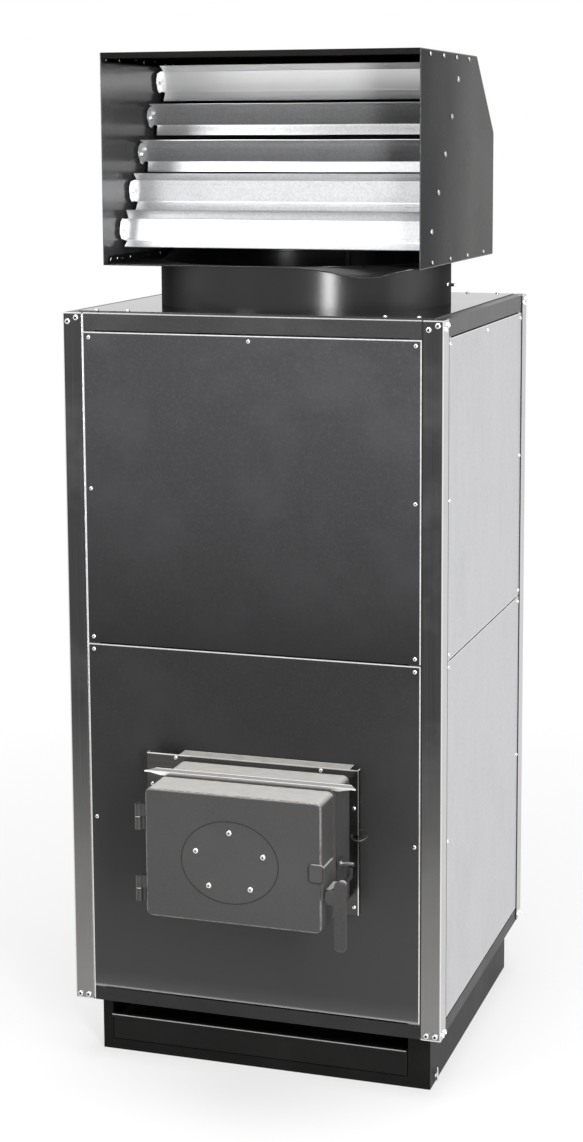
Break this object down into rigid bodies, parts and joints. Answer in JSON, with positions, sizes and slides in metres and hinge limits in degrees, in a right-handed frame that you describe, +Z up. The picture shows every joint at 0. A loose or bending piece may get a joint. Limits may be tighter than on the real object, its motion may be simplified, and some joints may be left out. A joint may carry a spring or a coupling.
{
  "type": "wood-fired air heater",
  "caption": "Tall panelled wood-burning air heater with a hinged fire door, an ash drawer in the plinth and a louvred warm-air head on a round collar.",
  "frame": {"origin": "on the floor under the middle of the casing", "axes": "+Z up, the fire door faces -Y, +X is to the right of a person who faces the door"},
  "size_m": [0.708, 0.924, 1.85],
  "materials": {
    "post": "brushed",
    "front_panel": "fine matt",
    "side_panel": "zinc satin",
    "rail": "satin",
    "black_sheet": "satin black",
    "blade": "galvanised",
    "door": "satin grey",
    "bare_steel": "bare",
    "bright": "bright zinc",
    "black_iron": "black",
    "chamber": "heat-stained",
    "firebrick": "rough fired clay",
    "fibre": "ceramic fibre",
    "fan": "black"
  },
  "bodies": {
    "casing": {"corner_post_front_left": "post", "corner_post_front_right": "post", "corner_post_rear_left": "post", "corner_post_rear_right": "post", "front_upper_panel": "front_panel", "front_lower_panel": "front_panel", "left_upper_panel": "side_panel", "left_lower_panel": "side_panel", "right_upper_panel": "side_panel", "right_lower_panel": "side_panel", "rear_upper_panel": "side_panel", "rear_lower_panel": "side_panel", "base_plate": "side_panel", "top_frame": "rail", "bottom_frame": "rail", "top_cover": "rail", "plinth": "black_sheet", "drawer_runners": "black_sheet", "outlet_collar": "black_sheet", "head_base": "black_sheet", "head_side_left": "black_sheet", "head_side_right": "black_sheet", "head_hood": "black_sheet", "fire_neck": "door", "neck_flange": "bare_steel", "neck_visor": "bare_steel", "casing_screws": "bright", "frame_bolts": "bright", "collar_bolts": "bright", "head_screws": "bright", "louvre_pivots": "bright", "flange_screws": "bright", "hinge_pins": "bright", "flange_loop": "bright", "neck_hinge_arms": "black_iron", "latch_keeper": "black_iron", "fan_guard": "black_iron", "combustion_chamber": "chamber", "chamber_lid": "chamber", "grate": "chamber", "flue_outlet": "chamber", "fan_ring": "chamber", "firebrick_lining": "firebrick", "fan_motor": "fan"},
    "door": {"fire_door": "door", "door_insulation": "fibre", "door_liner": "chamber", "door_gasket": "fibre", "door_disc": "door", "disc_screws": "bright", "door_hinge_knuckles": "black_iron", "latch_bracket": "black_iron"},
    "latch": {"latch_handle": "black_iron"},
    "drawer": {"ash_drawer": "black_sheet"},
    "fan": {"fan_impeller": "fan"},
    "blade_1": {"louvre_blade_1": "blade"},
    "blade_2": {"louvre_blade_2": "blade"},
    "blade_3": {"louvre_blade_3": "blade"},
    "blade_4": {"louvre_blade_4": "blade"},
    "blade_5": {"louvre_blade_5": "blade"}
  },
  "joints": [
    {"name": "door_swing", "type": "hinge", "parent": "casing", "child": "door", "pos_m": [-0.141, -0.5165, 0.48], "axis": [0, 0, -1], "range_deg": [0, 120]},
    {"name": "latch_turn", "type": "hinge", "parent": "door", "child": "latch", "pos_m": [0.212, -0.48, 0.439], "axis": [0, -1, 0], "range_deg": [0, 90]},
    {"name": "drawer_slide", "type": "slide", "parent": "casing", "child": "drawer", "axis": [0, -1, 0], "range_m": [0, 0.35]},
    {"name": "fan_spin", "type": "hinge", "parent": "casing", "child": "fan", "pos_m": [0, 0.27, 0.416], "axis": [0, 1, 0], "continuous": true},
    {"name": "blade_1_tilt", "type": "hinge", "parent": "casing", "child": "blade_1", "pos_m": [0, -0.199, 1.537], "axis": [-1, 0, 0], "range_deg": [-60, 40]},
    {"name": "blade_2_tilt", "type": "hinge", "parent": "casing", "child": "blade_2", "pos_m": [0, -0.1523, 1.6036], "axis": [-1, 0, 0], "range_deg": [-44, 56]},
    {"name": "blade_3_tilt", "type": "hinge", "parent": "casing", "child": "blade_3", "pos_m": [0, -0.1056, 1.6702], "axis": [-1, 0, 0], "range_deg": [-20, 80]},
    {"name": "blade_4_tilt", "type": "hinge", "parent": "casing", "child": "blade_4", "pos_m": [0, -0.0589, 1.7368], "axis": [-1, 0, 0], "range_deg": [-20, 80]},
    {"name": "blade_5_tilt", "type": "hinge", "parent": "casing", "child": "blade_5", "pos_m": [0, -0.0122, 1.8034], "axis": [-1, 0, 0], "range_deg": [-36, 64]}
  ]
}
